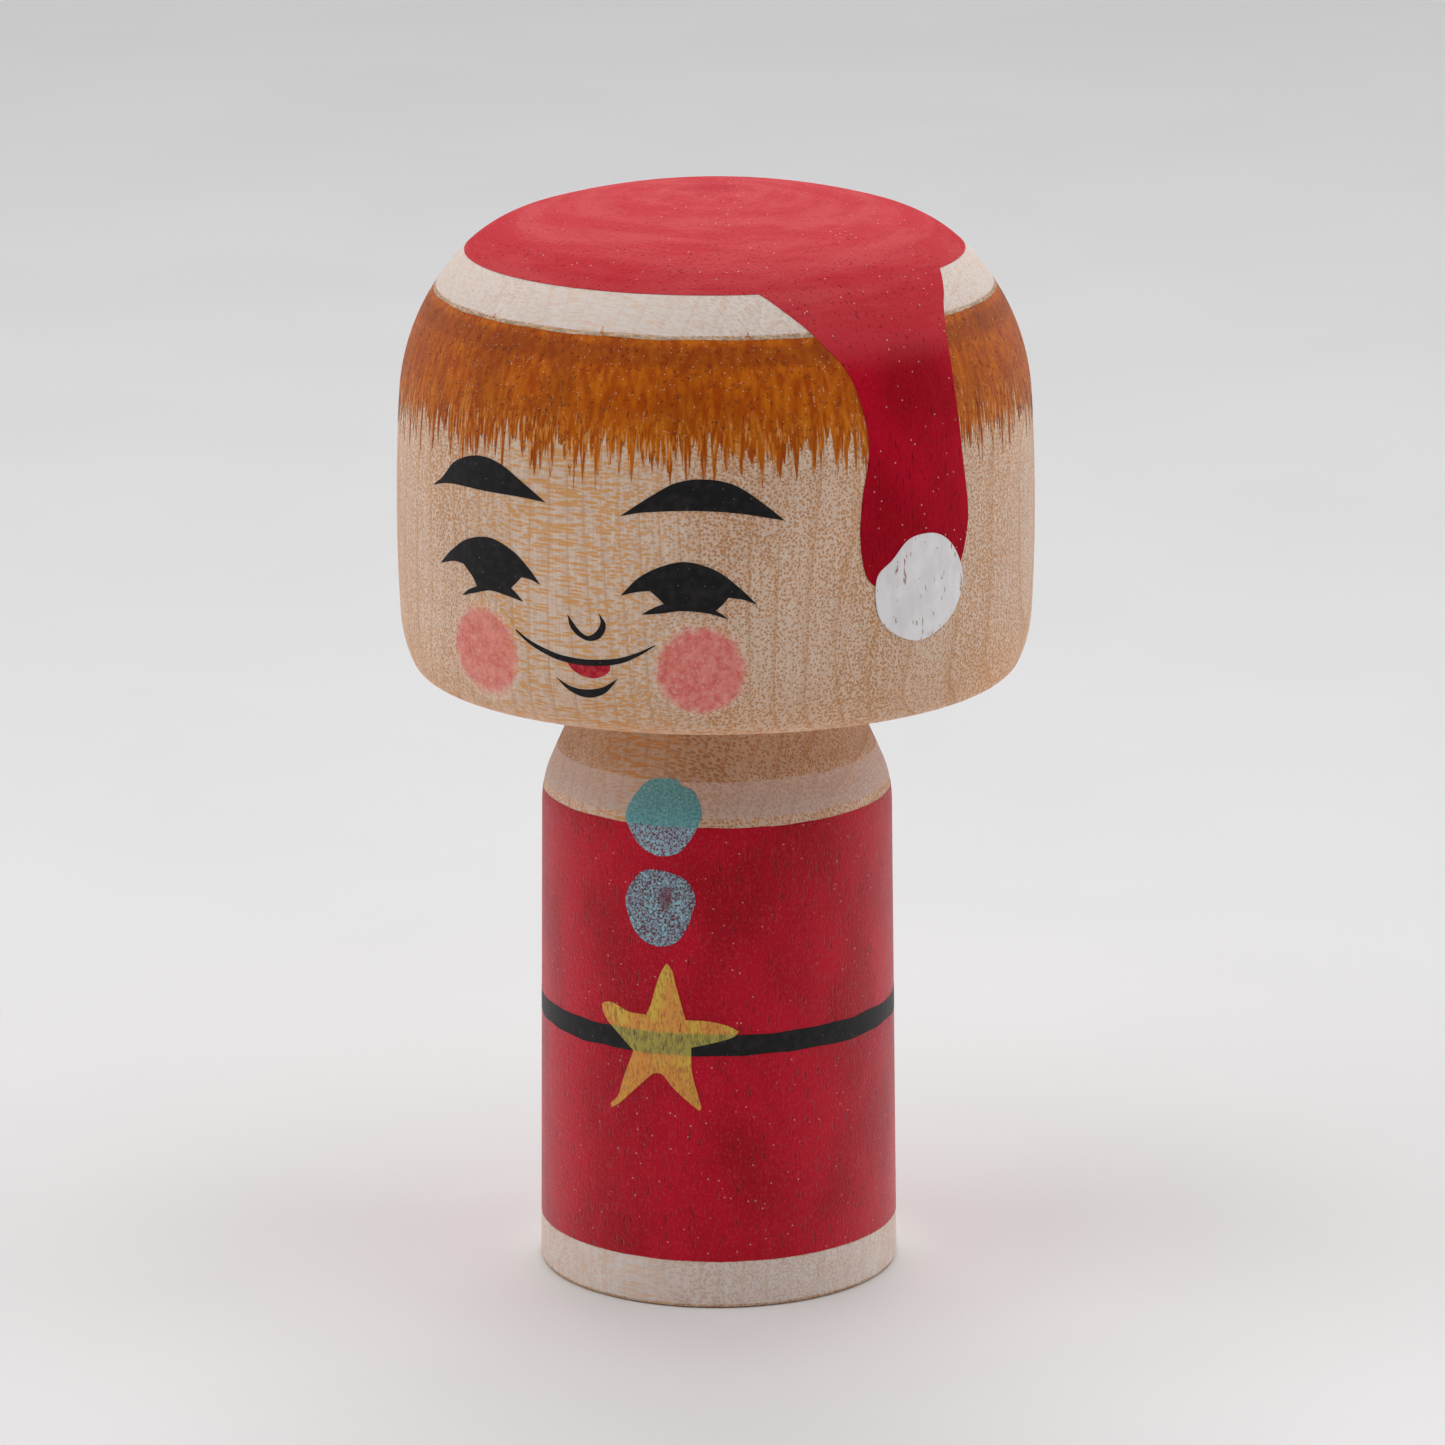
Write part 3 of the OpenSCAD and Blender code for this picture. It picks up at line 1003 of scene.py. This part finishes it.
HEAD_MARKS = {
    "brow_left": (BROW_LEFT, LIFT_INK, "face_ink", "black_ink"),
    "brow_right": (BROW_RIGHT, LIFT_INK, "face_ink", "black_ink"),
    "eye_left": (EYE_LEFT, LIFT_INK, "face_ink", "black_ink"),
    "eye_right": (EYE_RIGHT, LIFT_INK, "face_ink", "black_ink"),
    "nose": (NOSE, LIFT_INK, "face_ink", "black_ink"),
    "mouth": (MOUTH, LIFT_INK, "face_ink", "black_ink"),
    "chin": (CHIN, LIFT_INK, "face_ink", "black_ink"),
    "lip": (LIP, LIFT_COAT, "lip_red", "red_paint"),
    "cheek_left": (CHEEK_LEFT, LIFT_WASH, "cheek_left", "pink_blush"),
    "cheek_right": (CHEEK_RIGHT, LIFT_WASH, "cheek_right", "pink_blush"),
    "pompom": (POMPOM, LIFT_TOP, "pompom_white", "white_paint"),
}
for name, (outline, lift, look, slot) in HEAD_MARKS.items():
    patch(name, HEAD, on_face(outline), lift, MATERIALS[look], "head")

band("foot_wash", BODY, lambda a: np.full(a.shape, 0.35), wavy(FOOT_TOP - 0.05, 0.02, 14), LIFT_WASH,
     MATERIALS["foot_wash"], "body")
band("coat", BODY, wavy(FOOT_TOP, 0.02, 14), wavy(COAT_TOP, 0.05, 15), LIFT_COAT,
     MATERIALS["coat_red"], "body", rows=60)
band("collar", BODY, wavy(COLLAR_LOW, 0.05, 16), wavy(COLLAR_HIGH, 0.06, 17), LIFT_WASH,
     MATERIALS["collar_wash"], "body")
band("belt", BODY, wavy(BELT_LOW, 0.10, 18), wavy(BELT_HIGH, 0.10, 19), LIFT_BELT,
     MATERIALS["belt_ink"], "body", rows=4)

BODY_MARKS = {
    "star": (STAR, LIFT_TOP, "star_gold", "yellow_paint"),
    "button_upper": (BUTTON_UPPER, LIFT_HAT, "button_teal", "blue_paint"),
    "button_lower": (BUTTON_LOWER, LIFT_HAT, "button_blue", "blue_paint"),
}
for name, (outline, lift, look, slot) in BODY_MARKS.items():
    patch(name, BODY, on_coat(outline), lift, MATERIALS[look], "body")

# --------------------------------------------------- floor, lights, camera

FLOOR_R = 4.0
PAPER_DEEP = (0.79, 0.785, 0.79)
PAPER_PALE = (0.81, 0.805, 0.81)


def floor_material():
    made = bpy.data.materials.new("floor_paper")
    made.use_nodes = True
    net = Net(made.node_tree)
    shader = next(node for node in made.node_tree.nodes if node.type == "BSDF_PRINCIPLED")
    cloud = net.noise(net.place(), 0.02, detail=3)
    net.put(shader.inputs["Base Color"], net.mix(net.ramp(cloud, 0.3, 0.7), PAPER_DEEP, PAPER_PALE))
    net.put(shader.inputs["Roughness"], 0.9)
    net.put(shader.inputs["Specular IOR Level"], 0.2)
    return made


def make_floor():
    """A wide round sheet of pale paper."""
    rings = [0.06 * 1.35**i for i in range(15)]
    rings = [r for r in rings if r < FLOOR_R] + [FLOOR_R]
    columns = 64
    points = [(0, 0, 0)]
    points += [(r * math.cos(2 * math.pi * i / columns), r * math.sin(2 * math.pi * i / columns), 0)
               for r in rings for i in range(columns)]
    faces = [(0, 1 + i, 1 + (i + 1) % columns) for i in range(columns)]
    for j in range(len(rings) - 1):
        a, b = 1 + j * columns, 1 + (j + 1) * columns
        faces += [(a + i, b + i, b + (i + 1) % columns, a + (i + 1) % columns) for i in range(columns)]
    mesh = bpy.data.meshes.new("floor")
    mesh.from_pydata(points, [], faces)
    mesh.materials.append(floor_material())
    floor = bpy.data.objects.new("floor", mesh)
    bpy.context.scene.collection.objects.link(floor)


make_floor()

CAMERA_AZIMUTH = math.radians(18.0)
CAMERA_DISTANCE = 0.5768
CAMERA_HEIGHT = 0.1962
CAMERA_PITCH = math.radians(14.61)
CAMERA_ROLL = math.radians(-0.24)
CAMERA_LENS = 180.0
CAMERA_SHIFT = 0.004


def make_camera():
    camera = bpy.data.cameras.new("camera")
    camera.lens = CAMERA_LENS
    camera.sensor_width = 36.0
    camera.shift_x = CAMERA_SHIFT
    camera.clip_start, camera.clip_end = 0.01, 20.0
    stand = bpy.data.objects.new("camera", camera)
    stand.location = (
        CAMERA_DISTANCE * math.sin(CAMERA_AZIMUTH),
        -CAMERA_DISTANCE * math.cos(CAMERA_AZIMUTH),
        CAMERA_HEIGHT,
    )
    heading = Matrix.Rotation(CAMERA_AZIMUTH, 3, "Z")
    tilt = Matrix.Rotation(math.pi / 2 - CAMERA_PITCH, 3, "X")
    roll = Matrix.Rotation(CAMERA_ROLL, 3, "Z")
    stand.rotation_euler = (heading @ tilt @ roll).to_euler()
    bpy.context.scene.collection.objects.link(stand)
    bpy.context.scene.camera = stand


make_camera()

FRONT = (math.sin(CAMERA_AZIMUTH), -math.cos(CAMERA_AZIMUTH))
RIGHT = (math.cos(CAMERA_AZIMUTH), math.sin(CAMERA_AZIMUTH))
REAR_RISE = math.radians(43)


def make_world():
    """A light tent: pale walls at both sides, dark in front, a lamp high behind."""
    world = bpy.data.worlds.new("tent")
    world.use_nodes = True
    net = Net(world.node_tree)
    background = next(node for node in world.node_tree.nodes if node.type == "BACKGROUND")
    x, y, z = net.parts(net.new("ShaderNodeTexCoord").outputs["Generated"])
    ahead = net.plus(net.times(x, FRONT[0]), net.times(y, FRONT[1]))
    aside = net.plus(net.times(x, RIGHT[0]), net.times(y, RIGHT[1]))
    left = net.times(net.ramp(ahead, 0.80, 0.05, 0.0, 0.75), net.ramp(aside, 0.15, -0.15))
    right = net.times(net.ramp(ahead, 0.30, -0.10, 0.0, 1.12), net.ramp(aside, -0.15, 0.15))
    walls = net.times(net.plus(left, right), net.ramp(z, 0.40, 0.90, 1.0, 0.10))
    walls = net.times(walls, net.ramp(ahead, -0.90, -0.70))
    toward_lamp = net.plus(net.times(ahead, -math.cos(REAR_RISE)), net.times(z, math.sin(REAR_RISE)))
    level = net.plus(walls, net.ramp(toward_lamp, 0.84, 0.97, 0.0, 2.35))
    net.put(background.inputs["Color"], (1.0, 0.995, 1.0, 1))
    net.put(background.inputs["Strength"], level)
    bpy.context.scene.world = world


make_world()

LIGHT_AIM = Vector((0, 0, 0.05))
BOX_RISE = math.radians(60)
BOX_DISTANCE = 0.85
BOX_SIDE = 0.7


def soft_box(name, bearing, power):
    """A square lamp aimed at the doll; the bearing is counted from the camera's."""
    light = bpy.data.lights.new(name, "AREA")
    light.shape = "RECTANGLE"
    light.size, light.size_y = BOX_SIDE, BOX_SIDE
    light.energy = power
    azimuth = CAMERA_AZIMUTH + math.radians(bearing)
    level, rise = math.cos(BOX_RISE), math.sin(BOX_RISE)
    away = Vector((math.sin(azimuth) * level, -math.cos(azimuth) * level, rise))
    box = bpy.data.objects.new(name, light)
    box.location = LIGHT_AIM + away * BOX_DISTANCE
    box.rotation_euler = (-away).to_track_quat("-Z", "Y").to_euler()
    box.visible_camera = False
    bpy.context.scene.collection.objects.link(box)


soft_box("left_box", -70, 2.5)
soft_box("right_box", 70, 2.4)
soft_box("front_box", 0, 0.5)

bpy.context.scene.view_settings.view_transform = "Standard"
